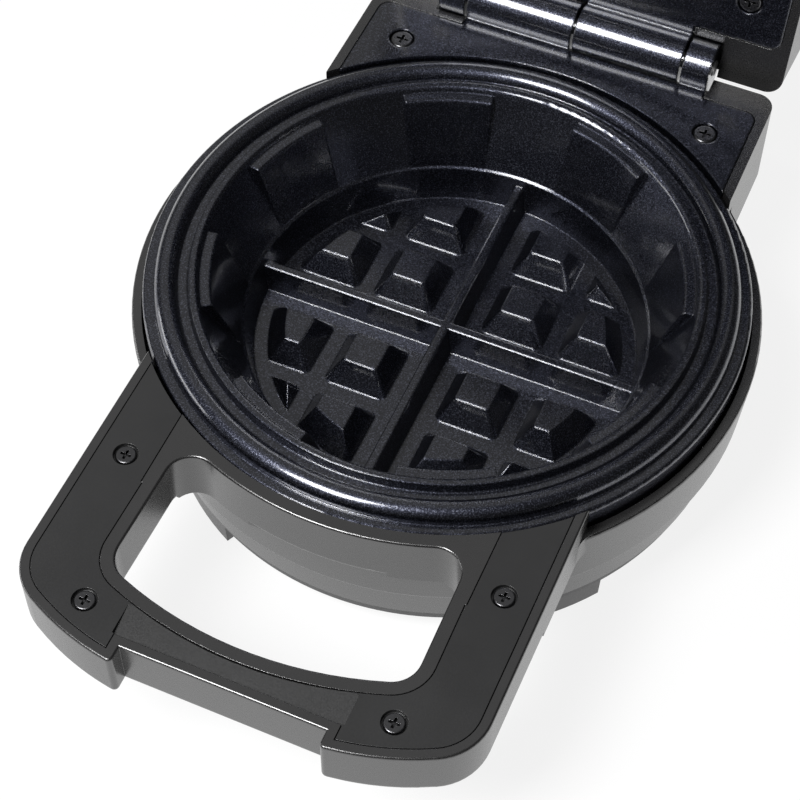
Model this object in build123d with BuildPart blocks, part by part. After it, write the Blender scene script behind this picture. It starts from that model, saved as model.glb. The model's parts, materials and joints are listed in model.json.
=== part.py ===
from build123d import *
from math import cos, sin, sqrt, radians
import os

os.makedirs("parts", exist_ok=True)

# Countertop stuffed-waffle cooker with a hinged lid, shown with the lid open.
# Millimetres, +Z up. The handle points to -Y and the hinge lies along X at the back.
# The origin is on the counter, under the middle of the whole object with its lid open.
# Heights of the cooking parts are counted from the lip of the bowl, named LIP_Z.

# Round parts, counted outwards from the floor of the bowl
FLOOR_R = 63.7
RING_R = FLOOR_R + 2.5
RING_STEP = 0.8
LIP_R = RING_R + 13.8
LIP_LAND = 2.3
PANEL_COUNT = 8
PANEL_DEPTH = 4.5
PANEL_LEDGE_R = LIP_R - PANEL_DEPTH
GROOVE_OUT = 3.0
GROOVE_WIDTH = 3.0
BEAD_CREST_R = LIP_R + 9.8
BEAD_FOOT_R = BEAD_CREST_R + 3.7
FLANGE_R = BEAD_FOOT_R + 3.9
PLATE_GAP = 0.9
PLATE_FIT_R = FLANGE_R + PLATE_GAP
RIM_WALL = 3.3
RIM_R = PLATE_FIT_R + RIM_WALL
CREASE_R = RIM_R - 1.6
STEP_R = CREASE_R - 3.0
TUB_LOWER_R = STEP_R - 1.5
TUB_BOTTOM_R = TUB_LOWER_R - 1.5
COLLAR_R = RIM_R + 1.0
LID_BOSS_R = LIP_R - 4.0
LID_BOSS_TIP_R = LID_BOSS_R - 3.5
LID_CROWN_R = CREASE_R - 10.0

# Heights, counted down from the lip of the bowl
FLOOR_DROP = 38.65
PLATE_WALL = 3.0
RING_DROP = FLOOR_DROP - 12.45
PANEL_LEDGE_DROP = 2.0
BEAD_CREST_RISE = 0.4
GROOVE_DROP = 3.0
FLANGE_DROP = 4.4
FLANGE_THICK = 3.0
SKIRT_DROP = 14.0
SKIRT_WALL = 2.4
RIM_DROP = 12.0
TUB_BOTTOM_DROP = FLOOR_DROP + PLATE_WALL + 13.85
TUB_LOWER_DROP = TUB_BOTTOM_DROP - 2.5
CREASE_DROP = TUB_BOTTOM_DROP - 20.0
STEP_DROP = CREASE_DROP + 2.5
TUB_WALL = 3.0
COVER_PLATE_THICK = 2.5
FOOT_HEIGHT = 10.0
LIP_Z = TUB_BOTTOM_DROP + COVER_PLATE_THICK + FOOT_HEIGHT
BOWL_Y = -16.6

# Waffle grid
POST_TOP = 11.6
POST_BASE = 21.8
POST_HEIGHT = 8.35
POST_FIRST = 19.7
POST_PITCH = 27.2
POST_TRIM_TOP_R = FLOOR_R - 10.8
POST_TRIM_BASE_R = FLOOR_R - 4.7
RIB_HEIGHT = 9.65
RIB_TOP_HALF = 1.5
RIB_BASE_HALF = 3.5

# Lid plate and lid shell, in their closed place
LID_LAND_RISE = 0.5
LID_BEAD_RISE = 1.4
LID_BOSS_DROP = 6.85
LID_FLOOR_RISE = 1.5
LID_PLATE_TOP = LID_FLOOR_RISE + PLATE_WALL
LID_CROWN_RISE = 40.0
LID_BLOCK_RISE = LID_CROWN_RISE - 8.0

# Handle frame
FRAME_TOP_DROP = 2.0
FRAME_BOTTOM_DROP = 21.5
FRAME_HALF_WIDTH = 73.0
GRIP_REACH = 65.5
FRONT_TIP = RIM_R + GRIP_REACH
FRAME_FRONT_SIDE = FRONT_TIP - 15.6
GRIP_CORNER_R = 18.0
NOTCH_HALF = 32.0
NOTCH_DEPTH = 5.4
ARM_WIDTH = 25.2
HOLE_HALF = FRAME_HALF_WIDTH - ARM_WIDTH
HOLE_FRONT_SIDE = FRONT_TIP - 28.6
HOLE_FRONT_MID = FRONT_TIP - 18.8
HOLE_CORNER_R = 9.0
HOLE_REAR = COLLAR_R - 22.6
COVER_INSET = 3.4
COVER_HOLE_INSET = 4.6
COVER_DEPTH = 2.4
COVER_GAP = 0.3
CAVITY_INSET = 4.2
CAVITY_BOTTOM_WALL = 3.0
HANDLE_SCREWS = [(FRAME_HALF_WIDTH - 12.0, -RIM_R - 1.5), (FRAME_HALF_WIDTH - 24.8, -FRONT_TIP + 15.0)]
HANDLE_SCREW_HEAD_R = 3.25
HANDLE_SCREW_BORE_R = 3.9
HANDLE_SCREW_BOSS_R = 4.9
RAMP_HALF = NOTCH_HALF + 4.0
RAMP_RUN = 10.0
RAMP_FALL = 1.4

# Hinge, rear blocks and hinge plates
HINGE_BACK = RIM_R + 16.8
OPEN_ANGLE = 102.0
DECK_GAP_HALF = 3.0
BARREL_R = 8.7
BARREL_CLEARANCE = 0.6
BARREL_SLOT = 0.3
PIN_R = 3.0
PIN_RUNNING_GAP = 0.05
PIN_HALF_LENGTH = 50.0
KNUCKLE_WIDE = (11.0 - PIN_HALF_LENGTH, -0.5)
KNUCKLE_NARROW = (PIN_HALF_LENGTH - 10.0, PIN_HALF_LENGTH - 0.5)
KNUCKLE_SLOT = 0.4
BASE_REAR = HINGE_BACK - 2.2
LID_REAR = HINGE_BACK + 5.0
REAR_CORNER_R = 6.0
REAR_BLOCK_DROP = CREASE_DROP
HINGE_PLATE_HALF = FRAME_HALF_WIDTH - 3.7
HINGE_PLATE_REAR = HINGE_BACK - 12.0
HINGE_PLATE_THICK = 4.0
HINGE_PLATE_GAP = 0.3
HINGE_SCREWS = [(HINGE_PLATE_HALF - 13.65, HINGE_PLATE_REAR - 15.0)]
HINGE_SCREW_HEAD_R = 4.0
HINGE_BOSS_R = 5.0
CORD_X = -35.0
CORD_DROP = REAR_BLOCK_DROP - 11.5
CORD_BORE_R = 3.7
GLAND_R = 6.0

# Inside fittings
HEATER_R = 45.0
HEATER_TUBE_R = 3.5
HEATER_ARC = 300.0
REFLECTOR_R = FLOOR_R - 5.7
REFLECTOR_THICK = 0.8
REFLECTOR_BOSS_R = 4.5
REFLECTOR_BOSS_AT = 28.0
THERMOSTAT_R = 8.5
THERMOSTAT_HEIGHT = 8.6
REFLECTOR_HOLE_R = THERMOSTAT_R + 4.5
FUSE_Y = 22.0
PLATE_BOSS_R = 4.5
PLATE_BOSS_AT = FLANGE_R - 7.9
PLATE_BOSS_END = 16.0
TAB_THICK = 3.0
SCREW_R = 2.0
SCREW_HEAD_R = 3.6
SCREW_HEAD_HEIGHT = 2.2
BLOCK_HEIGHT = 11.0
BLOCK_Y = BASE_REAR - 10.2

# Lamps in the top of the lid
LAMP_X = 9.0
LAMP_Y = -62.0
LAMP_R = 3.5
LAMP_BOARD_X = 18.0
LAMP_POST_R = 3.0
LAMP_POST_DROP = 4.0

# Bottom cover and feet
BOTTOM_SCREW_AT = TUB_BOTTOM_R - 8.5
BOTTOM_BOSS_R = 5.0
SLOT_RING_R = TUB_BOTTOM_R - 38.0
FOOT_PAD = 1.5
FOOT_OUTER_R = TUB_BOTTOM_R
FOOT_INNER_R = FOOT_OUTER_R - 14.0
FOOT_HALF_ARC = 14.5
FOOT_MID_ANGLE = 40.5


def level(rise):
    return Plane.XY.offset(LIP_Z + rise)


# Vertical section planes: the sketch's x is the radius and its y the height above the lip
section = Plane.XZ.offset(0).shift_origin((0, 0, LIP_Z))


def turned(angle):
    a = radians(angle)
    return Plane(origin=(0, 0, LIP_Z), x_dir=(cos(a), sin(a), 0), z_dir=(sin(a), -cos(a), 0))


def beside(x):
    return Plane(origin=(x, 0, LIP_Z), x_dir=(0, 1, 0), z_dir=(1, 0, 0))


# Plan of the handle frame, seen from above, shared by base and lid
with BuildSketch() as frame_plan:
    with BuildLine():
        Polyline((-NOTCH_HALF, -FRONT_TIP), (-NOTCH_HALF, NOTCH_DEPTH - FRONT_TIP),
                 (NOTCH_HALF, NOTCH_DEPTH - FRONT_TIP), (NOTCH_HALF, -FRONT_TIP))
        ThreePointArc((NOTCH_HALF, -FRONT_TIP), (FRAME_HALF_WIDTH - 19.0, -FRONT_TIP + 5.4),
                      (FRAME_HALF_WIDTH, -FRAME_FRONT_SIDE))
        Polyline((FRAME_HALF_WIDTH, -FRAME_FRONT_SIDE), (FRAME_HALF_WIDTH, 0),
                 (-FRAME_HALF_WIDTH, 0), (-FRAME_HALF_WIDTH, -FRAME_FRONT_SIDE))
        ThreePointArc((-FRAME_HALF_WIDTH, -FRAME_FRONT_SIDE), (19.0 - FRAME_HALF_WIDTH, -FRONT_TIP + 5.4),
                      (-NOTCH_HALF, -FRONT_TIP))
    make_face()
    fillet(frame_plan.vertices().filter_by_position(Axis.Y, -FRAME_FRONT_SIDE - 1, -FRAME_FRONT_SIDE + 1),
           radius=GRIP_CORNER_R)
    fillet(frame_plan.vertices().filter_by_position(Axis.Y, -FRONT_TIP - 1, -FRONT_TIP + 1), radius=1.5)

# Plan of the opening for the fingers, between the arms and the collar round the bowl
with BuildSketch() as hole_plan:
    with BuildLine():
        Polyline((-HOLE_HALF, -HOLE_FRONT_SIDE), (-HOLE_HALF + 1, -HOLE_REAR), (HOLE_HALF - 1, -HOLE_REAR),
                 (HOLE_HALF, -HOLE_FRONT_SIDE))
        ThreePointArc((HOLE_HALF, -HOLE_FRONT_SIDE), (0, -HOLE_FRONT_MID), (-HOLE_HALF, -HOLE_FRONT_SIDE))
    make_face()
    Circle(COLLAR_R, mode=Mode.SUBTRACT)
    fillet(hole_plan.vertices().sort_by(Axis.Y)[:2], radius=HOLE_CORNER_R)
    fillet(hole_plan.vertices().sort_by(Axis.Y)[-2:], radius=8)


# Plan of what lies in the top of the grip, at given distances from its edges
def grip_ring(outer_inset, hole_inset, rim_gap):
    with BuildSketch() as plan:
        add(frame_plan.sketch)
        offset(amount=-outer_inset, kind=Kind.INTERSECTION)
        Circle(PLATE_FIT_R + rim_gap, mode=Mode.SUBTRACT)
        with BuildSketch(mode=Mode.SUBTRACT):
            add(hole_plan.sketch)
            offset(amount=hole_inset)
        with Locations((0, -HOLE_REAR)):
            Rectangle(2 * (HOLE_HALF + hole_inset), 60, mode=Mode.SUBTRACT)
    return plan.sketch


# The loose cover, the shallow seat round it and the deep cavity below it
cover_plan = grip_ring(COVER_INSET, COVER_HOLE_INSET, COVER_GAP)
seat_plan = grip_ring(COVER_INSET - COVER_GAP, COVER_HOLE_INSET - COVER_GAP, 0)
cavity_plan = grip_ring(COVER_INSET + CAVITY_INSET, COVER_HOLE_INSET + CAVITY_INSET, CAVITY_INSET)

# Hinge plate plan: a casting that fills the deck from the bowl's rim to its rear edge
with BuildSketch() as hinge_plan:
    with Locations((0, HINGE_PLATE_REAR / 2)):
        Rectangle(2 * HINGE_PLATE_HALF, HINGE_PLATE_REAR)
    fillet(hinge_plan.vertices().group_by(Axis.Y)[-1], radius=4)
    Circle(FLANGE_R + HINGE_PLATE_GAP, mode=Mode.SUBTRACT)

# Plan of the rear block, for the base and for the longer one of the lid
with BuildSketch() as base_block_plan:
    with Locations((0, BASE_REAR / 2)):
        Rectangle(2 * FRAME_HALF_WIDTH, BASE_REAR)
    fillet(base_block_plan.vertices().group_by(Axis.Y)[-1], radius=REAR_CORNER_R)
with BuildSketch() as lid_block_plan:
    with Locations((0, LID_REAR / 2)):
        Rectangle(2 * FRAME_HALF_WIDTH, LID_REAR)
    fillet(lid_block_plan.vertices().group_by(Axis.Y)[-1], radius=REAR_CORNER_R)

four_screws = [(sx * x, y) for x, y in HANDLE_SCREWS for sx in (1, -1)]
deck_screws = [(sx * x, y) for x, y in HINGE_SCREWS for sx in (1, -1)]
base_knuckles = [KNUCKLE_WIDE, KNUCKLE_NARROW]
lid_knuckles = [(-right, -left) for left, right in base_knuckles]


# Where a straight side crosses the round shell, for the fillets that blend the two
def crossing(radius):
    return sqrt(radius ** 2 - FRAME_HALF_WIDTH ** 2)


# Waffle posts of the bowl: cut-off pyramids in a square pitch, trimmed by a cone
with BuildPart() as post_field:
    for qx in (-1, 1):
        for qy in (-1, 1):
            for i in (0, 1):
                for j in (0, 1):
                    px = qx * (POST_FIRST + i * POST_PITCH)
                    py = qy * (POST_FIRST + j * POST_PITCH)
                    with BuildSketch(level(-FLOOR_DROP)):
                        with Locations((px, py)):
                            RectangleRounded(POST_BASE, POST_BASE, 2.4)
                    with BuildSketch(level(-FLOOR_DROP + POST_HEIGHT)):
                        with Locations((px, py)):
                            RectangleRounded(POST_TOP, POST_TOP, 0.9)
                    loft()
    with BuildSketch(section) as post_trim:
        Polygon((0, -FLOOR_DROP - 1), (POST_TRIM_BASE_R + 0.7, -FLOOR_DROP - 1),
                (POST_TRIM_TOP_R - 0.7, -FLOOR_DROP + POST_HEIGHT + 1),
                (0, -FLOOR_DROP + POST_HEIGHT + 1), align=None)
    revolve(axis=Axis.Z, mode=Mode.INTERSECT)

# Bowl plate: one casting with the fluted deep bowl, the grid, the sealing bead and the skirt
with BuildPart() as base_bowl_plate:
    with BuildSketch(section) as bowl_profile:
        with BuildLine():
            Polyline((0, -FLOOR_DROP), (FLOOR_R, -FLOOR_DROP), (RING_R, -RING_DROP),
                     (RING_R + RING_STEP, -RING_DROP + 0.5), (LIP_R, 0), (LIP_R + LIP_LAND, 0),
                     (LIP_R + GROOVE_OUT, -GROOVE_DROP), (LIP_R + GROOVE_OUT + GROOVE_WIDTH, -GROOVE_DROP))
            ThreePointArc((LIP_R + GROOVE_OUT + GROOVE_WIDTH, -GROOVE_DROP), (BEAD_CREST_R, BEAD_CREST_RISE),
                          (BEAD_FOOT_R, -FLANGE_DROP))
            Polyline((BEAD_FOOT_R, -FLANGE_DROP), (FLANGE_R, -FLANGE_DROP), (FLANGE_R, -SKIRT_DROP),
                     (FLANGE_R - SKIRT_WALL, -SKIRT_DROP),
                     (FLANGE_R - SKIRT_WALL, -FLANGE_DROP - FLANGE_THICK),
                     (LIP_R - 0.4, -FLANGE_DROP - FLANGE_THICK), (RING_R + 3.1, -RING_DROP - 1.4),
                     (RING_R, -FLOOR_DROP - PLATE_WALL), (0, -FLOOR_DROP - PLATE_WALL), (0, -FLOOR_DROP))
        make_face()
        fillet(bowl_profile.vertices().filter_by_position(Axis.X, LIP_R - 0.1, LIP_R + 0.1), radius=1.4)
        fillet(bowl_profile.vertices().filter_by_position(Axis.X, RING_R + RING_STEP - 0.1,
                                                          RING_R + RING_STEP + 0.1), radius=0.6)
        fillet(bowl_profile.vertices().filter_by_position(Axis.X, FLANGE_R - 0.1, FLANGE_R + 0.1)
               .sort_by(Axis.Y)[-1:], radius=1.2)
    revolve(axis=Axis.Z)
    for n in range(PANEL_COUNT):
        with BuildSketch(turned(11.25 + n * 360 / PANEL_COUNT)) as panel_profile:
            Polygon((RING_R + 0.7, -RING_DROP + 0.4), (PANEL_LEDGE_R, -PANEL_LEDGE_DROP),
                    (LIP_R + 0.2, -PANEL_LEDGE_DROP), (RING_R + 2.0, -RING_DROP + 0.4), align=None)
            fillet(panel_profile.vertices().filter_by_position(Axis.X, PANEL_LEDGE_R - 0.1,
                                                               PANEL_LEDGE_R + 0.1), radius=1.2)
        revolve(axis=Axis.Z, revolution_arc=180 / PANEL_COUNT)
    add(post_field.part)
    with BuildSketch(section) as cross_rib:
        Polygon((-RIB_BASE_HALF, -FLOOR_DROP - 0.5), (RIB_BASE_HALF, -FLOOR_DROP - 0.5),
                (RIB_TOP_HALF, -FLOOR_DROP + RIB_HEIGHT), (-RIB_TOP_HALF, -FLOOR_DROP + RIB_HEIGHT), align=None)
        fillet(cross_rib.vertices().group_by(Axis.Y)[-1], radius=0.7)
    extrude(amount=RING_R - 0.2, both=True)
    with BuildSketch(beside(0)) as cross_rib_side:
        Polygon((-RIB_BASE_HALF, -FLOOR_DROP - 0.5), (RIB_BASE_HALF, -FLOOR_DROP - 0.5),
                (RIB_TOP_HALF, -FLOOR_DROP + RIB_HEIGHT), (-RIB_TOP_HALF, -FLOOR_DROP + RIB_HEIGHT), align=None)
        fillet(cross_rib_side.vertices().group_by(Axis.Y)[-1], radius=0.7)
    extrude(amount=RING_R - 0.2, both=True)
    with BuildSketch(level(-FLOOR_DROP - PLATE_WALL + 0.2)):
        with PolarLocations(REFLECTOR_BOSS_AT, 3, start_angle=30):
            Circle(REFLECTOR_BOSS_R)
    extrude(amount=-2 * HEATER_TUBE_R - 0.2)
    with BuildSketch(level(-FLANGE_DROP - FLANGE_THICK + 0.2)):
        with PolarLocations(PLATE_BOSS_AT, 4, start_angle=45):
            Circle(PLATE_BOSS_R)
    extrude(amount=-(PLATE_BOSS_END - FLANGE_DROP - FLANGE_THICK + 0.2))
    with BuildSketch(level(-PLATE_BOSS_END)):
        with PolarLocations(PLATE_BOSS_AT, 4, start_angle=45):
            Circle(SCREW_R)
    extrude(amount=6, mode=Mode.SUBTRACT)
    with BuildSketch(level(-FLOOR_DROP - PLATE_WALL - 2 * HEATER_TUBE_R)):
        with PolarLocations(REFLECTOR_BOSS_AT, 3, start_angle=30):
            Circle(SCREW_R)
    extrude(amount=5, mode=Mode.SUBTRACT)

# Grip frame as moulded on both halves: rounded frame, seat and cavity below the cover, bosses
with BuildPart() as grip_body:
    with BuildSketch(level(-FRAME_BOTTOM_DROP)):
        add(frame_plan.sketch)
    extrude(amount=FRAME_BOTTOM_DROP - FRAME_TOP_DROP)
    with BuildSketch(level(-FRAME_BOTTOM_DROP)):
        add(hole_plan.sketch)
    extrude(amount=FRAME_BOTTOM_DROP - FRAME_TOP_DROP, mode=Mode.SUBTRACT)
    fillet(grip_body.edges().group_by(Axis.Z)[-1].filter_by_position(Axis.Y, -200, -10), radius=0.8)
    fillet(grip_body.edges().group_by(Axis.Z)[0].filter_by_position(Axis.Y, -200, -10), radius=2.5)
    with BuildSketch(level(-FRAME_BOTTOM_DROP - 1)):
        Circle(PLATE_FIT_R)
    extrude(amount=FRAME_BOTTOM_DROP, mode=Mode.SUBTRACT)
    with BuildSketch(level(-FRAME_TOP_DROP - COVER_DEPTH)):
        add(seat_plan)
    extrude(amount=COVER_DEPTH + 1, mode=Mode.SUBTRACT)
    with BuildSketch(level(-FRAME_BOTTOM_DROP + CAVITY_BOTTOM_WALL)):
        add(cavity_plan)
        with Locations(*four_screws):
            Circle(HANDLE_SCREW_BOSS_R, mode=Mode.SUBTRACT)
    extrude(amount=FRAME_BOTTOM_DROP - CAVITY_BOTTOM_WALL - FRAME_TOP_DROP, mode=Mode.SUBTRACT)
    with BuildSketch(level(-FRAME_TOP_DROP - COVER_DEPTH)):
        with Locations(*four_screws):
            Circle(SCREW_R)
    extrude(amount=-9, mode=Mode.SUBTRACT)

# Hinge plate as cast for both halves, with one wide and one narrow knuckle
with BuildPart() as hinge_half:
    with BuildSketch(level(-DECK_GAP_HALF - HINGE_PLATE_THICK)):
        add(hinge_plan.sketch)
        for left, right in base_knuckles:
            with Locations(((left + right) / 2, (HINGE_PLATE_REAR + HINGE_BACK) / 2 - 4)):
                Rectangle(right - left, HINGE_BACK - HINGE_PLATE_REAR + 8)
        with Locations(((KNUCKLE_WIDE[1] + KNUCKLE_NARROW[0]) / 2, HINGE_BACK - BARREL_R - BARREL_SLOT)):
            Rectangle(KNUCKLE_NARROW[0] - KNUCKLE_WIDE[1], 10, align=(Align.CENTER, Align.MAX))
    extrude(amount=HINGE_PLATE_THICK)
    for left, right in base_knuckles:
        with BuildSketch(beside(left)):
            with Locations((HINGE_BACK, 0)):
                Circle(BARREL_R)
        extrude(amount=right - left)
    with BuildSketch(level(-DECK_GAP_HALF)):
        with Locations(*deck_screws):
            Circle(HINGE_SCREW_HEAD_R + 0.4)
    extrude(amount=-SCREW_HEAD_HEIGHT - 0.2, mode=Mode.SUBTRACT)
    with BuildSketch(level(-DECK_GAP_HALF)):
        with Locations(*deck_screws):
            Circle(SCREW_R + 0.2)
    extrude(amount=-HINGE_PLATE_THICK - 1, mode=Mode.SUBTRACT)

with BuildPart() as base_hinge_plate:
    add(hinge_half.part)
    with BuildSketch(beside(-PIN_HALF_LENGTH)):
        with Locations((HINGE_BACK, 0)):
            Circle(PIN_R)
    extrude(amount=2 * PIN_HALF_LENGTH, mode=Mode.SUBTRACT)

with BuildPart() as lid_hinge_plate:
    add(hinge_half.part.rotate(Axis((0, 0, LIP_Z), (0, 1, 0)), 180))
    with BuildSketch(beside(-PIN_HALF_LENGTH)):
        with Locations((HINGE_BACK, 0)):
            Circle(PIN_R + PIN_RUNNING_GAP)
    extrude(amount=2 * PIN_HALF_LENGTH, mode=Mode.SUBTRACT)

with BuildPart() as hinge_pin:
    with BuildSketch(beside(-PIN_HALF_LENGTH)):
        with Locations((HINGE_BACK, 0)):
            Circle(PIN_R)
    extrude(amount=2 * PIN_HALF_LENGTH)
    chamfer(hinge_pin.edges().group_by(Axis.X)[0], length=0.5)
    chamfer(hinge_pin.edges().group_by(Axis.X)[-1], length=0.5)

# Base housing: round tub with a hollow rear block and the grip frame, all one moulding
with BuildPart() as base_housing:
    with BuildSketch(section) as tub_outside:
        Polygon((0, -RIM_DROP), (RIM_R, -RIM_DROP), (CREASE_R, -CREASE_DROP), (STEP_R, -STEP_DROP),
                (TUB_LOWER_R, -TUB_LOWER_DROP), (TUB_BOTTOM_R, -TUB_BOTTOM_DROP), (0, -TUB_BOTTOM_DROP),
                align=None)
        fillet(tub_outside.vertices().filter_by_position(Axis.X, RIM_R - 0.1, RIM_R + 0.1), radius=1.2)
        fillet(tub_outside.vertices().filter_by_position(Axis.X, CREASE_R - 0.1, CREASE_R + 0.1), radius=1.5)
    revolve(axis=Axis.Z)
    with BuildSketch(level(-FRAME_BOTTOM_DROP)) as arm_blend:
        Circle(RIM_R - 0.7)
        add(frame_plan.sketch)
        fillet(arm_blend.vertices().filter_by_position(Axis.Y, -crossing(RIM_R - 0.7) - 1,
                                                       -crossing(RIM_R - 0.7) + 1), radius=10)
        add(hole_plan.sketch, mode=Mode.SUBTRACT)
        with Locations((0, -FRONT_TIP)):
            Rectangle(2 * RIM_R, 2 * GRIP_REACH + 3.2, mode=Mode.SUBTRACT)
    extrude(amount=FRAME_BOTTOM_DROP - RIM_DROP)
    with BuildSketch(level(-REAR_BLOCK_DROP)) as block_blend:
        Circle(RIM_R - 1.7)
        add(base_block_plan.sketch)
        fillet(block_blend.vertices().filter_by_position(Axis.Y, crossing(RIM_R - 1.7) - 1,
                                                         crossing(RIM_R - 1.7) + 1), radius=10)
    extrude(amount=REAR_BLOCK_DROP - RIM_DROP)
    with BuildSketch(level(-RIM_DROP)):
        add(base_block_plan.sketch)
        Circle(PLATE_FIT_R, mode=Mode.SUBTRACT)
    extrude(amount=RIM_DROP - DECK_GAP_HALF)
    with BuildSketch(section):
        Polygon((0, 5), (PLATE_FIT_R, 5), (PLATE_FIT_R, -RIM_DROP - TUB_WALL),
                (CREASE_R - TUB_WALL, -CREASE_DROP), (STEP_R - TUB_WALL, -STEP_DROP - 1),
                (TUB_LOWER_R - TUB_WALL, -TUB_LOWER_DROP),
                (TUB_BOTTOM_R - TUB_WALL, -TUB_BOTTOM_DROP - 1), (0, -TUB_BOTTOM_DROP - 1), align=None)
    revolve(axis=Axis.Z, mode=Mode.SUBTRACT)
    add(grip_body.part)
    with BuildSketch(level(-REAR_BLOCK_DROP + TUB_WALL)):
        add(base_block_plan.sketch)
        offset(amount=-TUB_WALL)
    extrude(amount=REAR_BLOCK_DROP - TUB_WALL - DECK_GAP_HALF - HINGE_PLATE_THICK - TUB_WALL,
            mode=Mode.SUBTRACT)
    with BuildSketch(beside(-PIN_HALF_LENGTH - 3)) as base_trough:
        with Locations((HINGE_BACK, 0)):
            Circle(BARREL_R + BARREL_CLEARANCE + TUB_WALL)
        with Locations((BASE_REAR + 20, 0)):
            Rectangle(40, 60, mode=Mode.SUBTRACT)
        with Locations((BASE_REAR, 20 - DECK_GAP_HALF)):
            Rectangle(60, 40, mode=Mode.SUBTRACT)
    extrude(amount=2 * PIN_HALF_LENGTH + 6)
    with BuildSketch(beside(-PIN_HALF_LENGTH - 0.5)):
        with Locations((HINGE_BACK, 0)):
            Circle(BARREL_R + BARREL_CLEARANCE)
    extrude(amount=2 * PIN_HALF_LENGTH + 1, mode=Mode.SUBTRACT)
    with BuildSketch(level(-DECK_GAP_HALF - HINGE_PLATE_THICK)):
        add(hinge_plan.sketch)
        offset(amount=HINGE_PLATE_GAP)
        with Locations(((KNUCKLE_WIDE[0] + KNUCKLE_NARROW[1]) / 2, (HINGE_PLATE_REAR + HINGE_BACK) / 2)):
            Rectangle(KNUCKLE_NARROW[1] - KNUCKLE_WIDE[0] + 2 * KNUCKLE_SLOT, HINGE_BACK - HINGE_PLATE_REAR)
    extrude(amount=HINGE_PLATE_THICK + 1, mode=Mode.SUBTRACT)
    with BuildSketch(level(-REAR_BLOCK_DROP + TUB_WALL - 0.2)):
        with Locations(*deck_screws):
            Circle(HINGE_BOSS_R)
    extrude(amount=REAR_BLOCK_DROP - TUB_WALL - DECK_GAP_HALF - HINGE_PLATE_THICK - TUB_WALL + 0.4)
    with BuildSketch(level(-DECK_GAP_HALF - HINGE_PLATE_THICK)):
        with Locations(*deck_screws):
            Circle(SCREW_R)
    extrude(amount=-13, mode=Mode.SUBTRACT)
    with BuildSketch(level(-PLATE_BOSS_END)):
        with PolarLocations(PLATE_BOSS_AT + 1.5, 4, start_angle=45):
            Rectangle(15, 12)
        with PolarLocations(PLATE_BOSS_AT, 4, start_angle=45):
            Circle(SCREW_R + 0.2, mode=Mode.SUBTRACT)
    extrude(amount=-TAB_THICK)
    with BuildSketch(level(-TUB_BOTTOM_DROP)):
        with PolarLocations(BOTTOM_SCREW_AT, 4):
            Circle(BOTTOM_BOSS_R)
        with PolarLocations(BOTTOM_SCREW_AT + 4, 4):
            Rectangle(6.5, 3)
    extrude(amount=13)
    with BuildSketch(level(-TUB_BOTTOM_DROP)):
        with PolarLocations(BOTTOM_SCREW_AT, 4):
            Circle(SCREW_R)
    extrude(amount=10, mode=Mode.SUBTRACT)
    with BuildSketch(Plane.XZ.offset(-BASE_REAR)):
        with Locations((CORD_X, LIP_Z - CORD_DROP)):
            Circle(GLAND_R)
    extrude(amount=TUB_WALL + 1, mode=Mode.SUBTRACT)

# Loose cover of the grip, with its sloped thumb ramp above the front notch
with BuildPart() as base_handle_cover:
    with BuildSketch(level(-FRAME_TOP_DROP - COVER_DEPTH)):
        add(cover_plan)
    extrude(amount=COVER_DEPTH)
    with BuildSketch(level(-FRAME_TOP_DROP)):
        with Locations(*four_screws):
            Circle(HANDLE_SCREW_BORE_R)
    extrude(amount=-COVER_DEPTH + 0.9, mode=Mode.SUBTRACT)
    with BuildSketch(level(-FRAME_TOP_DROP)):
        with Locations(*four_screws):
            Circle(SCREW_R + 0.2)
    extrude(amount=-COVER_DEPTH - 1, mode=Mode.SUBTRACT)
    with BuildSketch(beside(-RAMP_HALF)):
        Polygon((-FRONT_TIP + NOTCH_DEPTH + COVER_INSET, -FRAME_TOP_DROP - RAMP_FALL),
                (-FRONT_TIP + NOTCH_DEPTH + COVER_INSET + RAMP_RUN, -FRAME_TOP_DROP),
                (-FRONT_TIP + NOTCH_DEPTH + COVER_INSET, -FRAME_TOP_DROP + 1), align=None)
    extrude(amount=2 * RAMP_HALF, mode=Mode.SUBTRACT)

# Four pan-head screws of the grip cover, with their cross recesses
with BuildPart() as base_handle_screws:
    with BuildSketch(level(-FRAME_TOP_DROP - COVER_DEPTH + 0.9)):
        with Locations(*four_screws):
            Circle(HANDLE_SCREW_HEAD_R)
    extrude(amount=1.3)
    fillet(base_handle_screws.edges().group_by(Axis.Z)[-1], radius=0.6)
    with BuildSketch(level(-FRAME_TOP_DROP - COVER_DEPTH + 1)):
        with Locations(*four_screws):
            Circle(SCREW_R)
    extrude(amount=-9)
    with BuildSketch(level(-FRAME_TOP_DROP - COVER_DEPTH + 2.2)):
        with Locations(*four_screws):
            Rectangle(3.4, 0.8)
            Rectangle(0.8, 3.4)
    extrude(amount=-0.9, mode=Mode.SUBTRACT)

# Two countersunk screws that hold a hinge plate to the block below it
with BuildPart() as base_hinge_screws:
    with BuildSketch(level(-DECK_GAP_HALF - SCREW_HEAD_HEIGHT - 0.2)):
        with Locations(*deck_screws):
            Circle(HINGE_SCREW_HEAD_R)
    extrude(amount=SCREW_HEAD_HEIGHT)
    fillet(base_hinge_screws.edges().group_by(Axis.Z)[-1], radius=0.8)
    with BuildSketch(level(-DECK_GAP_HALF - SCREW_HEAD_HEIGHT)):
        with Locations(*deck_screws):
            Circle(SCREW_R)
    extrude(amount=-14)
    with BuildSketch(level(-DECK_GAP_HALF - 0.2)):
        with Locations(*deck_screws):
            Rectangle(4.2, 0.9)
            Rectangle(0.9, 4.2)
    extrude(amount=-1, mode=Mode.SUBTRACT)

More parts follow.
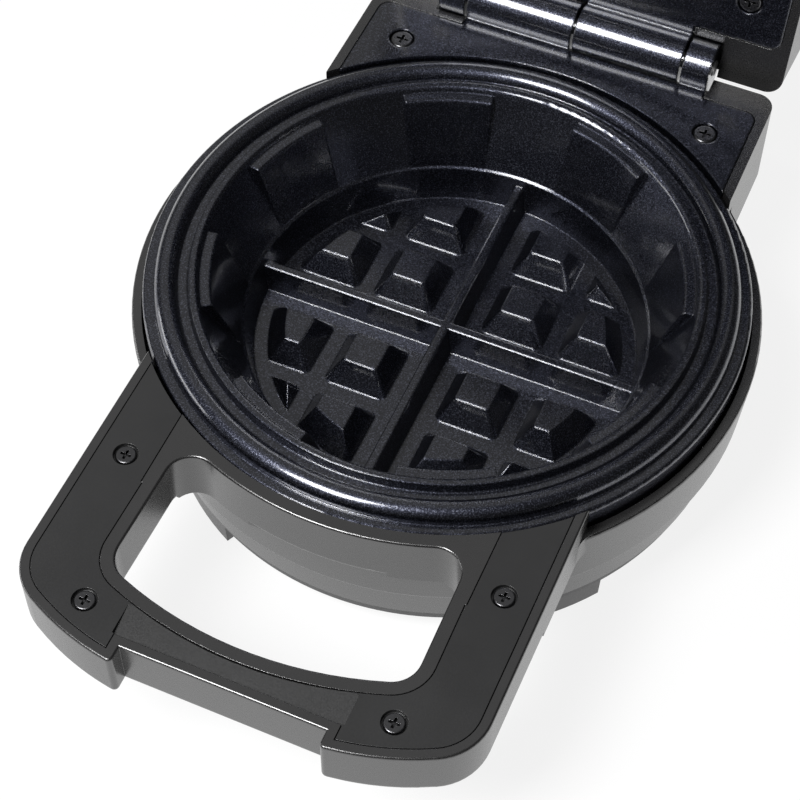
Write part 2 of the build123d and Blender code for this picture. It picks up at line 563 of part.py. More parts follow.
# Tubular heating element that lies against the underside of the bowl, open towards the back
with BuildPart() as base_heating_element:
    with BuildSketch(turned(90 + (360 - HEATER_ARC) / 2)):
        with Locations((HEATER_R, -FLOOR_DROP - PLATE_WALL - HEATER_TUBE_R)):
            Circle(HEATER_TUBE_R)
    revolve(axis=Axis.Z, revolution_arc=HEATER_ARC)
    for side in (-1, 1):
        end_angle = radians(90 + side * (360 - HEATER_ARC) / 2)
        with BuildSketch(level(-FLOOR_DROP - PLATE_WALL - HEATER_TUBE_R)):
            with Locations((HEATER_R * cos(end_angle), HEATER_R * sin(end_angle))):
                Circle(SCREW_R)
        extrude(amount=-HEATER_TUBE_R - 5)

# Thin reflector dish below the element, with a rolled rim and room for the thermostat
with BuildPart() as base_heat_reflector:
    with BuildSketch(section) as dish_profile:
        with BuildLine():
            reflector_top = -FLOOR_DROP - PLATE_WALL - 2 * HEATER_TUBE_R
            Polyline((REFLECTOR_HOLE_R, reflector_top), (REFLECTOR_R, reflector_top),
                     (REFLECTOR_R + 4, reflector_top + 5), (REFLECTOR_R + 4.9, reflector_top + 5),
                     (REFLECTOR_R + 0.5, reflector_top - REFLECTOR_THICK),
                     (REFLECTOR_HOLE_R, reflector_top - REFLECTOR_THICK), (REFLECTOR_HOLE_R, reflector_top))
        make_face()
    revolve(axis=Axis.Z)
    with BuildSketch(level(reflector_top - 1)):
        with PolarLocations(REFLECTOR_BOSS_AT, 3, start_angle=30):
            Circle(SCREW_R + 0.2)
        with PolarLocations(HEATER_R, 2, start_angle=90 - (360 - HEATER_ARC) / 2, angular_range=360 - HEATER_ARC,
                            endpoint=True):
            Circle(SCREW_R + 1.2)
    extrude(amount=2, mode=Mode.SUBTRACT)

# Three screws that hold the reflector to the bosses of the bowl
with BuildPart() as base_reflector_screws:
    with BuildSketch(level(reflector_top - REFLECTOR_THICK)):
        with PolarLocations(REFLECTOR_BOSS_AT, 3, start_angle=30):
            Circle(SCREW_HEAD_R)
    extrude(amount=-1.8)
    with BuildSketch(level(reflector_top - REFLECTOR_THICK)):
        with PolarLocations(REFLECTOR_BOSS_AT, 3, start_angle=30):
            Circle(SCREW_R)
    extrude(amount=5)

# Disc thermostat under the middle of the bowl, with two flat terminals
with BuildPart() as base_thermostat:
    with BuildSketch(level(-FLOOR_DROP - PLATE_WALL)):
        Circle(THERMOSTAT_R)
    extrude(amount=-THERMOSTAT_HEIGHT)
    with BuildSketch(level(-FLOOR_DROP - PLATE_WALL - THERMOSTAT_HEIGHT)):
        with GridLocations(9, 0, 2, 1):
            Rectangle(0.8, 6.3)
    extrude(amount=-3.2)

# Thermal fuse that lies in a saddle on the reflector
with BuildPart() as base_thermal_fuse:
    with BuildSketch(beside(-7)):
        with Locations((FUSE_Y, reflector_top - REFLECTOR_THICK - 2)):
            Circle(2)
    extrude(amount=14)
    with BuildSketch(beside(-2.5)):
        with Locations((FUSE_Y, reflector_top - REFLECTOR_THICK - 0.5)):
            Rectangle(9, 1)
    extrude(amount=5)

# Four screws that hold the bowl plate to the tabs of the housing
with BuildPart() as base_plate_screws:
    with BuildSketch(level(-PLATE_BOSS_END - TAB_THICK)):
        with PolarLocations(PLATE_BOSS_AT, 4, start_angle=45):
            Circle(SCREW_HEAD_R)
    extrude(amount=-SCREW_HEAD_HEIGHT)
    with BuildSketch(level(-PLATE_BOSS_END - TAB_THICK)):
        with PolarLocations(PLATE_BOSS_AT, 4, start_angle=45):
            Circle(SCREW_R)
    extrude(amount=TAB_THICK + 5.5)

# Terminal block that stands on the floor of the rear block, with six wire ways
with BuildPart() as base_terminal_block:
    with BuildSketch(level(-REAR_BLOCK_DROP + TUB_WALL)):
        with Locations((0, BLOCK_Y)):
            Rectangle(30, 9)
    extrude(amount=BLOCK_HEIGHT)
    with BuildSketch(level(-REAR_BLOCK_DROP + TUB_WALL + BLOCK_HEIGHT)):
        with Locations((0, BLOCK_Y)):
            with GridLocations(9, 0, 3, 1):
                Circle(2)
    extrude(amount=-6, mode=Mode.SUBTRACT)

# Cord gland in the rear wall, with a bore for the lead
with BuildPart() as base_cord_gland:
    with BuildSketch(Plane.XZ.offset(-BASE_REAR)):
        with Locations((CORD_X, LIP_Z - CORD_DROP)):
            Circle(GLAND_R + 2.5)
    extrude(amount=-2.5)
    with BuildSketch(Plane.XZ.offset(-BASE_REAR)):
        with Locations((CORD_X, LIP_Z - CORD_DROP)):
            Circle(GLAND_R)
    extrude(amount=TUB_WALL + 4)
    with BuildSketch(Plane.XZ.offset(-BASE_REAR - 2.5)):
        with Locations((CORD_X, LIP_Z - CORD_DROP)):
            Circle(CORD_BORE_R)
    extrude(amount=TUB_WALL + 8, mode=Mode.SUBTRACT)

# Bottom cover with four curved feet, a ring of air slots and recessed screws
with BuildPart() as base_bottom_cover:
    with BuildSketch(level(-TUB_BOTTOM_DROP)):
        Circle(TUB_BOTTOM_R)
    extrude(amount=-COVER_PLATE_THICK)
    for foot_angle in (FOOT_MID_ANGLE - 90, -90 - FOOT_MID_ANGLE, 90 - FOOT_MID_ANGLE, 90 + FOOT_MID_ANGLE):
        with BuildSketch(turned(foot_angle - FOOT_HALF_ARC)) as foot_section:
            Polygon((FOOT_INNER_R, -TUB_BOTTOM_DROP - COVER_PLATE_THICK + 0.5),
                    (FOOT_INNER_R + 0.4, -LIP_Z + FOOT_PAD), (FOOT_OUTER_R - 0.4, -LIP_Z + FOOT_PAD),
                    (FOOT_OUTER_R, -TUB_BOTTOM_DROP - COVER_PLATE_THICK + 0.5), align=None)
        revolve(axis=Axis.Z, revolution_arc=2 * FOOT_HALF_ARC)
    with BuildSketch(level(-TUB_BOTTOM_DROP)):
        with PolarLocations(SLOT_RING_R, 12, start_angle=15):
            SlotOverall(22, 3.2)
    extrude(amount=-COVER_PLATE_THICK, mode=Mode.SUBTRACT)
    with BuildSketch(level(-TUB_BOTTOM_DROP)):
        with PolarLocations(BOTTOM_SCREW_AT, 4):
            Circle(SCREW_R + 0.2)
    extrude(amount=-COVER_PLATE_THICK, mode=Mode.SUBTRACT)

# Four screws of the bottom cover
with BuildPart() as base_bottom_screws:
    with BuildSketch(level(-TUB_BOTTOM_DROP - COVER_PLATE_THICK)):
        with PolarLocations(BOTTOM_SCREW_AT, 4):
            Circle(SCREW_HEAD_R)
    extrude(amount=-SCREW_HEAD_HEIGHT)
    with BuildSketch(level(-TUB_BOTTOM_DROP - COVER_PLATE_THICK)):
        with PolarLocations(BOTTOM_SCREW_AT, 4):
            Circle(SCREW_R)
    extrude(amount=COVER_PLATE_THICK + 9)

# Rubber pads under the curved feet
with BuildPart() as base_foot_pads:
    for foot_angle in (FOOT_MID_ANGLE - 90, -90 - FOOT_MID_ANGLE, 90 - FOOT_MID_ANGLE, 90 + FOOT_MID_ANGLE):
        with BuildSketch(turned(foot_angle - FOOT_HALF_ARC + 1)):
            Polygon((FOOT_INNER_R + 1.5, -LIP_Z + FOOT_PAD), (FOOT_INNER_R + 1.5, -LIP_Z),
                    (FOOT_OUTER_R - 1.5, -LIP_Z), (FOOT_OUTER_R - 1.5, -LIP_Z + FOOT_PAD), align=None)
        revolve(axis=Axis.Z, revolution_arc=2 * FOOT_HALF_ARC - 2)

# Lid plate in its closed place: boss with the upper grid, groove above the bead, and skirt
with BuildPart() as lid_plate:
    with BuildSketch(section) as lid_profile:
        Polygon((0, LID_FLOOR_RISE), (RING_R - 2.2, LID_FLOOR_RISE), (RING_R - 0.6, -LID_BOSS_DROP),
                (LID_BOSS_TIP_R, -LID_BOSS_DROP), (LID_BOSS_R, LID_LAND_RISE), (LIP_R + 3.6, LID_LAND_RISE),
                (LIP_R + 5.0, LID_BEAD_RISE), (BEAD_FOOT_R + 0.3, LID_BEAD_RISE),
                (BEAD_FOOT_R + 1.1, FLANGE_DROP), (FLANGE_R, FLANGE_DROP), (FLANGE_R, SKIRT_DROP),
                (FLANGE_R - SKIRT_WALL, SKIRT_DROP),
                (FLANGE_R - SKIRT_WALL, FLANGE_DROP + FLANGE_THICK), (LIP_R - 1.0, FLANGE_DROP + FLANGE_THICK),
                (LIP_R - 4.0, LID_PLATE_TOP), (0, LID_PLATE_TOP), align=None)
        fillet(lid_profile.vertices().filter_by_position(Axis.X, LID_BOSS_TIP_R - 0.1, LID_BOSS_TIP_R + 0.1),
               radius=1.5)
        fillet(lid_profile.vertices().filter_by_position(Axis.X, FLANGE_R - 0.1, FLANGE_R + 0.1)
               .sort_by(Axis.Y)[:1], radius=1.2)
    revolve(axis=Axis.Z)
    add(post_field.part.mirror(level((LID_FLOOR_RISE - FLOOR_DROP) / 2)))
    with BuildSketch(section) as lid_rib:
        Polygon((-RIB_BASE_HALF, LID_FLOOR_RISE + 0.5), (RIB_BASE_HALF, LID_FLOOR_RISE + 0.5),
                (RIB_TOP_HALF, LID_FLOOR_RISE - RIB_HEIGHT), (-RIB_TOP_HALF, LID_FLOOR_RISE - RIB_HEIGHT),
                align=None)
        fillet(lid_rib.vertices().group_by(Axis.Y)[0], radius=0.7)
    extrude(amount=RING_R, both=True)
    with BuildSketch(beside(0)) as lid_rib_side:
        Polygon((-RIB_BASE_HALF, LID_FLOOR_RISE + 0.5), (RIB_BASE_HALF, LID_FLOOR_RISE + 0.5),
                (RIB_TOP_HALF, LID_FLOOR_RISE - RIB_HEIGHT), (-RIB_TOP_HALF, LID_FLOOR_RISE - RIB_HEIGHT),
                align=None)
        fillet(lid_rib_side.vertices().group_by(Axis.Y)[0], radius=0.7)
    extrude(amount=RING_R, both=True)
    with BuildSketch(level(LID_PLATE_TOP - 0.2)):
        with PolarLocations(REFLECTOR_BOSS_AT, 3, start_angle=30):
            Circle(REFLECTOR_BOSS_R)
    extrude(amount=2 * HEATER_TUBE_R + 0.2)
    with BuildSketch(level(FLANGE_DROP + FLANGE_THICK - 0.2)):
        with PolarLocations(PLATE_BOSS_AT, 4, start_angle=45):
            Circle(PLATE_BOSS_R)
    extrude(amount=PLATE_BOSS_END - FLANGE_DROP - FLANGE_THICK + 0.2)
    with BuildSketch(level(PLATE_BOSS_END)):
        with PolarLocations(PLATE_BOSS_AT, 4, start_angle=45):
            Circle(SCREW_R)
    extrude(amount=-6, mode=Mode.SUBTRACT)
    with BuildSketch(level(LID_PLATE_TOP + 2 * HEATER_TUBE_R)):
        with PolarLocations(REFLECTOR_BOSS_AT, 3, start_angle=30):
            Circle(SCREW_R)
    extrude(amount=-5, mode=Mode.SUBTRACT)

# Lid housing in its closed place: domed shell, hollow rear block and the mirrored grip frame
with BuildPart() as lid_housing:
    with BuildSketch(section) as crown_outside:
        Polygon((0, RIM_DROP), (RIM_R, RIM_DROP), (CREASE_R, LID_BLOCK_RISE), (LID_CROWN_R, LID_CROWN_RISE),
                (0, LID_CROWN_RISE), align=None)
        fillet(crown_outside.vertices().filter_by_position(Axis.X, RIM_R - 0.1, RIM_R + 0.1), radius=1.2)
        fillet(crown_outside.vertices().filter_by_position(Axis.X, CREASE_R - 0.1, CREASE_R + 0.1), radius=6)
        fillet(crown_outside.vertices().filter_by_position(Axis.X, LID_CROWN_R - 0.1, LID_CROWN_R + 0.1),
               radius=12)
    revolve(axis=Axis.Z)
    with BuildSketch(level(RIM_DROP)) as lid_arm_blend:
        Circle(RIM_R - 0.7)
        add(frame_plan.sketch)
        fillet(lid_arm_blend.vertices().filter_by_position(Axis.Y, -crossing(RIM_R - 0.7) - 1,
                                                           -crossing(RIM_R - 0.7) + 1), radius=10)
        add(hole_plan.sketch, mode=Mode.SUBTRACT)
        with Locations((0, -FRONT_TIP)):
            Rectangle(2 * RIM_R, 2 * GRIP_REACH + 3.2, mode=Mode.SUBTRACT)
    extrude(amount=FRAME_BOTTOM_DROP - RIM_DROP)
    with BuildSketch(level(RIM_DROP)) as lid_block_blend:
        Circle(RIM_R - 1.5)
        add(lid_block_plan.sketch)
        fillet(lid_block_blend.vertices().filter_by_position(Axis.Y, crossing(RIM_R - 1.5) - 1,
                                                             crossing(RIM_R - 1.5) + 1), radius=10)
        with Locations((0, 20 - RIM_R)):
            Rectangle(2 * RIM_R + 20, 2 * RIM_R, mode=Mode.SUBTRACT)
    extrude(amount=LID_BLOCK_RISE - RIM_DROP - 5)
    with BuildSketch(level(LID_BLOCK_RISE - 5)):
        add(lid_block_plan.sketch)
    extrude(amount=5)
    with BuildSketch(level(DECK_GAP_HALF)):
        add(lid_block_plan.sketch)
        Circle(PLATE_FIT_R, mode=Mode.SUBTRACT)
    extrude(amount=RIM_DROP - DECK_GAP_HALF)
    with BuildSketch(section):
        Polygon((0, -5), (PLATE_FIT_R, -5), (PLATE_FIT_R, RIM_DROP + TUB_WALL),
                (CREASE_R - TUB_WALL, LID_BLOCK_RISE - 4),
                (LID_CROWN_R - TUB_WALL, LID_CROWN_RISE - TUB_WALL), (0, LID_CROWN_RISE - TUB_WALL), align=None)
    revolve(axis=Axis.Z, mode=Mode.SUBTRACT)
    add(grip_body.part.mirror(level(0)))
    with BuildSketch(level(DECK_GAP_HALF + HINGE_PLATE_THICK + TUB_WALL)):
        add(lid_block_plan.sketch)
        offset(amount=-TUB_WALL)
    extrude(amount=LID_BLOCK_RISE - DECK_GAP_HALF - HINGE_PLATE_THICK - 2 * TUB_WALL, mode=Mode.SUBTRACT)
    with BuildSketch(beside(-PIN_HALF_LENGTH - 3)) as lid_trough:
        with Locations((HINGE_BACK, 0)):
            Circle(BARREL_R + BARREL_CLEARANCE + TUB_WALL)
        with Locations((LID_REAR + 20, 0)):
            Rectangle(40, 60, mode=Mode.SUBTRACT)
        with Locations((LID_REAR, DECK_GAP_HALF - 20)):
            Rectangle(60, 40, mode=Mode.SUBTRACT)
    extrude(amount=2 * PIN_HALF_LENGTH + 6)
    with BuildSketch(beside(-PIN_HALF_LENGTH - 0.5)):
        with Locations((HINGE_BACK, 0)):
            Circle(BARREL_R + BARREL_CLEARANCE)
    extrude(amount=2 * PIN_HALF_LENGTH + 1, mode=Mode.SUBTRACT)
    with BuildSketch(level(DECK_GAP_HALF - 1)):
        add(hinge_plan.sketch)
        offset(amount=HINGE_PLATE_GAP)
        with Locations((-(KNUCKLE_WIDE[0] + KNUCKLE_NARROW[1]) / 2, (HINGE_PLATE_REAR + HINGE_BACK) / 2)):
            Rectangle(KNUCKLE_NARROW[1] - KNUCKLE_WIDE[0] + 2 * KNUCKLE_SLOT, HINGE_BACK - HINGE_PLATE_REAR)
    extrude(amount=HINGE_PLATE_THICK + 1, mode=Mode.SUBTRACT)
    with BuildSketch(level(DECK_GAP_HALF + HINGE_PLATE_THICK + TUB_WALL - 0.2)):
        with Locations(*deck_screws):
            Circle(HINGE_BOSS_R)
    extrude(amount=LID_BLOCK_RISE - DECK_GAP_HALF - HINGE_PLATE_THICK - 2 * TUB_WALL + 0.4)
    with BuildSketch(level(DECK_GAP_HALF + HINGE_PLATE_THICK)):
        with Locations(*deck_screws):
            Circle(SCREW_R)
    extrude(amount=13, mode=Mode.SUBTRACT)
    with BuildSketch(level(PLATE_BOSS_END)):
        with PolarLocations(PLATE_BOSS_AT + 1.5, 4, start_angle=45):
            Rectangle(15, 12)
        with PolarLocations(PLATE_BOSS_AT, 4, start_angle=45):
            Circle(SCREW_R + 0.2, mode=Mode.SUBTRACT)
    extrude(amount=TAB_THICK)
    with BuildSketch(level(LID_CROWN_RISE - TUB_WALL + 0.2)):
        with Locations((-LAMP_BOARD_X, LAMP_Y), (LAMP_BOARD_X, LAMP_Y)):
            Circle(LAMP_POST_R)
    extrude(amount=-LAMP_POST_DROP - 0.2)
    with BuildSketch(level(LID_CROWN_RISE)):
        with Locations((-LAMP_X, LAMP_Y), (LAMP_X, LAMP_Y)):
            Circle(LAMP_R)
    extrude(amount=-TUB_WALL - 1, mode=Mode.SUBTRACT)

# Indicator lamps in the top of the lid: two lenses and the small board that lights them
with BuildPart() as lid_power_lens:
    with BuildSketch(level(LID_CROWN_RISE - TUB_WALL - 0.6)):
        with Locations((-LAMP_X, LAMP_Y)):
            Circle(LAMP_R)
    extrude(amount=TUB_WALL + 1.4)
    fillet(lid_power_lens.edges().group_by(Axis.Z)[-1], radius=0.6)
with BuildPart() as lid_ready_lens:
    with BuildSketch(level(LID_CROWN_RISE - TUB_WALL - 0.6)):
        with Locations((LAMP_X, LAMP_Y)):
            Circle(LAMP_R)
    extrude(amount=TUB_WALL + 1.4)
    fillet(lid_ready_lens.edges().group_by(Axis.Z)[-1], radius=0.6)
with BuildPart() as lid_lamp_board:
    with BuildSketch(level(LID_CROWN_RISE - TUB_WALL - LAMP_POST_DROP)):
        with Locations((0, LAMP_Y)):
            Rectangle(2 * LAMP_BOARD_X + 10, 14)
    extrude(amount=-1.6)
    with BuildSketch(level(LID_CROWN_RISE - TUB_WALL - LAMP_POST_DROP - 0.1)):
        with Locations((-LAMP_X, LAMP_Y), (LAMP_X, LAMP_Y)):
            Circle(2.5)
    extrude(amount=LAMP_POST_DROP - 0.9)

# Lid counterparts of the grip cover, screws, heater, reflector and thermostat
lid_half = level((LID_PLATE_TOP - FLOOR_DROP - PLATE_WALL) / 2)
with BuildPart() as lid_handle_cover:
    add(base_handle_cover.part.mirror(level(0)))
with BuildPart() as lid_handle_screws:
    add(base_handle_screws.part.mirror(level(0)))
with BuildPart() as lid_hinge_screws:
    add(base_hinge_screws.part.mirror(level(0)))
with BuildPart() as lid_plate_screws:
    add(base_plate_screws.part.mirror(level(0)))
with BuildPart() as lid_heating_element:
    add(base_heating_element.part.mirror(lid_half))
with BuildPart() as lid_heat_reflector:
    add(base_heat_reflector.part.mirror(lid_half))
with BuildPart() as lid_reflector_screws:
    add(base_reflector_screws.part.mirror(lid_half))
with BuildPart() as lid_thermostat:
    add(base_thermostat.part.mirror(lid_half))

# The base stands as modelled; the lid is swung open about the hinge pin
hinge_axis = Axis((0, HINGE_BACK, LIP_Z), (1, 0, 0))
on_base = Location((0, BOWL_Y, 0))

for piece in (base_housing, base_handle_cover, base_handle_screws, base_bowl_plate, base_hinge_plate,
              base_hinge_screws, hinge_pin, base_heating_element, base_heat_reflector,
              base_reflector_screws, base_thermostat, base_thermal_fuse, base_plate_screws,
              base_terminal_block, base_cord_gland, base_bottom_cover, base_bottom_screws, base_foot_pads):
    piece.part = piece.part.moved(on_base)

for piece in (lid_housing, lid_handle_cover, lid_handle_screws, lid_plate, lid_plate_screws,
              lid_hinge_plate, lid_hinge_screws, lid_heating_element, lid_heat_reflector,
              lid_reflector_screws, lid_thermostat, lid_power_lens, lid_ready_lens, lid_lamp_board):
    piece.part = piece.part.rotate(hinge_axis, -OPEN_ANGLE).moved(on_base)

base_housing.part.label = "base_housing"
export_step(base_housing.part, "parts/base_housing.step")
base_handle_cover.part.label = "base_handle_cover"
export_step(base_handle_cover.part, "parts/base_handle_cover.step")
base_handle_screws.part.label = "base_handle_screws"
export_step(base_handle_screws.part, "parts/base_handle_screws.step")
base_bowl_plate.part.label = "base_bowl_plate"
export_step(base_bowl_plate.part, "parts/base_bowl_plate.step")
base_hinge_plate.part.label = "base_hinge_plate"
export_step(base_hinge_plate.part, "parts/base_hinge_plate.step")
base_hinge_screws.part.label = "base_hinge_screws"
export_step(base_hinge_screws.part, "parts/base_hinge_screws.step")
hinge_pin.part.label = "hinge_pin"
export_step(hinge_pin.part, "parts/hinge_pin.step")
base_heating_element.part.label = "base_heating_element"
export_step(base_heating_element.part, "parts/base_heating_element.step")
base_heat_reflector.part.label = "base_heat_reflector"
export_step(base_heat_reflector.part, "parts/base_heat_reflector.step")
base_reflector_screws.part.label = "base_reflector_screws"
export_step(base_reflector_screws.part, "parts/base_reflector_screws.step")
base_thermostat.part.label = "base_thermostat"
export_step(base_thermostat.part, "parts/base_thermostat.step")
base_thermal_fuse.part.label = "base_thermal_fuse"
export_step(base_thermal_fuse.part, "parts/base_thermal_fuse.step")
base_plate_screws.part.label = "base_plate_screws"
export_step(base_plate_screws.part, "parts/base_plate_screws.step")
base_terminal_block.part.label = "base_terminal_block"
export_step(base_terminal_block.part, "parts/base_terminal_block.step")
base_cord_gland.part.label = "base_cord_gland"
export_step(base_cord_gland.part, "parts/base_cord_gland.step")
base_bottom_cover.part.label = "base_bottom_cover"
export_step(base_bottom_cover.part, "parts/base_bottom_cover.step")
base_bottom_screws.part.label = "base_bottom_screws"
export_step(base_bottom_screws.part, "parts/base_bottom_screws.step")
base_foot_pads.part.label = "base_foot_pads"
export_step(base_foot_pads.part, "parts/base_foot_pads.step")
lid_housing.part.label = "lid_housing"
export_step(lid_housing.part, "parts/lid_housing.step")
lid_handle_cover.part.label = "lid_handle_cover"
export_step(lid_handle_cover.part, "parts/lid_handle_cover.step")
lid_handle_screws.part.label = "lid_handle_screws"
export_step(lid_handle_screws.part, "parts/lid_handle_screws.step")
lid_plate.part.label = "lid_plate"
export_step(lid_plate.part, "parts/lid_plate.step")
lid_plate_screws.part.label = "lid_plate_screws"
export_step(lid_plate_screws.part, "parts/lid_plate_screws.step")
lid_hinge_plate.part.label = "lid_hinge_plate"
export_step(lid_hinge_plate.part, "parts/lid_hinge_plate.step")
lid_hinge_screws.part.label = "lid_hinge_screws"
export_step(lid_hinge_screws.part, "parts/lid_hinge_screws.step")
lid_heating_element.part.label = "lid_heating_element"
export_step(lid_heating_element.part, "parts/lid_heating_element.step")
lid_heat_reflector.part.label = "lid_heat_reflector"
export_step(lid_heat_reflector.part, "parts/lid_heat_reflector.step")
lid_reflector_screws.part.label = "lid_reflector_screws"
export_step(lid_reflector_screws.part, "parts/lid_reflector_screws.step")
lid_thermostat.part.label = "lid_thermostat"
export_step(lid_thermostat.part, "parts/lid_thermostat.step")
lid_power_lens.part.label = "lid_power_lens"
export_step(lid_power_lens.part, "parts/lid_power_lens.step")
lid_ready_lens.part.label = "lid_ready_lens"
export_step(lid_ready_lens.part, "parts/lid_ready_lens.step")
lid_lamp_board.part.label = "lid_lamp_board"
export_step(lid_lamp_board.part, "parts/lid_lamp_board.step")
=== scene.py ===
import json
import math
import bpy
import bmesh
from mathutils import Matrix, Vector

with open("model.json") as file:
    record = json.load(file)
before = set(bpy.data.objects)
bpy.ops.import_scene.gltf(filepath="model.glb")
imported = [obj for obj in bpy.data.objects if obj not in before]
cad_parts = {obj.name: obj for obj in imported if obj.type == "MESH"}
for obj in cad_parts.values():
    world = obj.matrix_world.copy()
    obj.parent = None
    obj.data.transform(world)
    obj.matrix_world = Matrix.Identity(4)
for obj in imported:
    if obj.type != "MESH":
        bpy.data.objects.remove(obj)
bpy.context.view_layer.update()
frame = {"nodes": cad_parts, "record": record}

# Bowl axis and lip height in the row frame, in metres
BOWL_Y = -0.0166
LIP_Z = 0.068

# Coating of the castings: noise cells per metre, lengths in metres
FLAKE_CELLS = 2300.0
FLAKE_DARK = (0.014, 0.015, 0.023)
FLAKE_MID = (0.036, 0.039, 0.055)
FLAKE_BRIGHT = (0.130, 0.138, 0.180)
COATING_GRAIN_CELLS = 1500.0
COATING_WAVE_CELLS = 60.0
COATING_EDGE_R = 0.0010
COATING_WAVE_HEIGHT = 0.0003
FLAKE_HEIGHT = 0.00006
COATING_GRAIN_HEIGHT = 0.00003
SKIN_ROUGHNESS = 0.12
SKIN_IOR = 1.7

# Plastics and rubbers
MOTTLE_CELLS = 35.0
PLASTIC_GRAIN_CELLS = 2200.0
PLASTIC_GRAIN_HEIGHT = 0.00005
PLASTIC_EDGE_R = 0.00022

# Metals
TARNISH_CELLS = 120.0
METAL_GRAIN_CELLS = 1400.0
METAL_GRAIN_HEIGHT = 0.00003
METAL_EDGE_R = 0.0003
SCREW_EDGE_R = 0.00012
# Reach and black colour of the shade painted into the screw's cross recess
PAINTED_SHADE_REACH = 0.0012
PAINTED_RECESS_SHADE = (0.004, 0.004, 0.004)
SCREW_GREY = (0.120, 0.120, 0.125)

# Sample counts of the edge node and of the node that paints shade into the screw recess
EDGE_SAMPLES = 6
PAINTED_SHADE_SAMPLES = 8

# Camera at the photograph's angle
AZIMUTH = math.radians(23.28)
ELEVATION = math.radians(54.44)
ROLL = math.radians(-0.38)
AIM = Vector((0.0067, BOWL_Y - 0.0532, LIP_Z))
VIEW_DISTANCE = 0.6257
LENS_MM = 92.76
SENSOR_MM = 36.0
CLIP_NEAR = 0.01
CLIP_FAR = 20.0

# Floor: half its width, its drop under the feet, and how pale it is to the lamps and to the eye
FLOOR_HALF = 3.0
FLOOR_CELLS = 8
FLOOR_DROP = 0.0002
FLOOR_PALE = 0.80
SEEN_FLOOR_PALE = 0.15
SEEN_FLOOR_GLOW = 0.86

# Room: a soft bright patch, high up behind, in dark walls
PATCH_DIRECTION = (-0.36, 0.54, 0.76)
PATCH_EDGE = 0.72
PATCH_CORE = 0.96
WALL_STRENGTH = 0.05
PATCH_STRENGTH = 0.36

# Finished materials by the record's slot name
MATERIALS = {}


# Shader node helpers
def empty_tree(owner):
    owner.use_nodes = True
    tree = owner.node_tree
    tree.nodes.clear()
    return tree


def add(tree, kind, **settings):
    node = tree.nodes.new(kind)
    for name, value in settings.items():
        node.inputs[name].default_value = value
    return node


def grey(value):
    return (value, value, value)


def noise(tree, vector, cells, detail, rough):
    node = add(tree, "ShaderNodeTexNoise", Scale=cells, Detail=detail, Roughness=rough)
    tree.links.new(vector, node.inputs["Vector"])
    return node.outputs["Fac"]


def ramp(tree, value, stops):
    node = tree.nodes.new("ShaderNodeValToRGB")
    while len(node.color_ramp.elements) < len(stops):
        node.color_ramp.elements.new(0.5)
    for element, (at, colour) in zip(node.color_ramp.elements, stops):
        element.position = at
        element.color = (*colour, 1.0)
    tree.links.new(value, node.inputs["Fac"])
    return node.outputs["Color"]


def bump(tree, height, strength, distance, under):
    node = add(tree, "ShaderNodeBump", Strength=strength, Distance=distance)
    tree.links.new(height, node.inputs["Height"])
    tree.links.new(under, node.inputs["Normal"])
    return node.outputs["Normal"]


# The small radius that every moulded or cast edge has
def soft_edge(tree, radius):
    node = add(tree, "ShaderNodeBevel", Radius=radius)
    node.samples = EDGE_SAMPLES
    return node.outputs["Normal"]


def larger(tree, first, second):
    node = tree.nodes.new("ShaderNodeMath")
    node.operation = "MAXIMUM"
    tree.links.new(first, node.inputs[0])
    tree.links.new(second, node.inputs[1])
    return node.outputs[0]


def new_material(slot):
    material = bpy.data.materials.new(slot)
    MATERIALS[slot] = material
    tree = empty_tree(material)
    out = tree.nodes.new("ShaderNodeOutputMaterial")
    bsdf = tree.nodes.new("ShaderNodeBsdfPrincipled")
    tree.links.new(bsdf.outputs["BSDF"], out.inputs["Surface"])
    place = tree.nodes.new("ShaderNodeTexCoord").outputs["Object"]
    return tree, bsdf, place


def roughen(tree, bsdf, grain, low, high):
    tree.links.new(ramp(tree, grain, [(0.3, grey(low)), (0.7, grey(high))]), bsdf.inputs["Roughness"])


# Non-stick coating: dark metal flakes under a clear glossy skin
def coated_casting():
    tree, bsdf, place = new_material("coated_casting")
    bsdf.inputs["Metallic"].default_value = 1.0
    bsdf.inputs["Coat Weight"].default_value = 1.0
    bsdf.inputs["Coat Roughness"].default_value = SKIN_ROUGHNESS
    bsdf.inputs["Coat IOR"].default_value = SKIN_IOR
    flakes = noise(tree, place, FLAKE_CELLS, 1.0, 0.4)
    grain = noise(tree, place, COATING_GRAIN_CELLS, 2.0, 0.6)
    waves = noise(tree, place, COATING_WAVE_CELLS, 1.0, 0.4)
    colour = ramp(tree, flakes, [(0.34, FLAKE_DARK), (0.56, FLAKE_MID), (0.70, FLAKE_BRIGHT)])
    tree.links.new(colour, bsdf.inputs["Base Color"])
    roughen(tree, bsdf, grain, 0.36, 0.44)
    cast = bump(tree, waves, 0.08, COATING_WAVE_HEIGHT, soft_edge(tree, COATING_EDGE_R))
    tree.links.new(bump(tree, flakes, 0.35, FLAKE_HEIGHT, cast), bsdf.inputs["Normal"])
    tree.links.new(bump(tree, grain, 0.22, COATING_GRAIN_HEIGHT, cast), bsdf.inputs["Coat Normal"])


# Moulded plastic or rubber: a faint mottle between two colours and a fine grain
def moulded(slot, low, high, rough_low, rough_high, specular=0.5, ior=1.5):
    tree, bsdf, place = new_material(slot)
    bsdf.inputs["Specular IOR Level"].default_value = specular
    bsdf.inputs["IOR"].default_value = ior
    mottle = noise(tree, place, MOTTLE_CELLS, 3.0, 0.55)
    grain = noise(tree, place, PLASTIC_GRAIN_CELLS, 1.0, 0.5)
    tree.links.new(ramp(tree, mottle, [(0.35, low), (0.65, high)]), bsdf.inputs["Base Color"])
    roughen(tree, bsdf, grain, rough_low, rough_high)
    edge = soft_edge(tree, PLASTIC_EDGE_R)
    tree.links.new(bump(tree, grain, 0.25, PLASTIC_GRAIN_HEIGHT, edge), bsdf.inputs["Normal"])


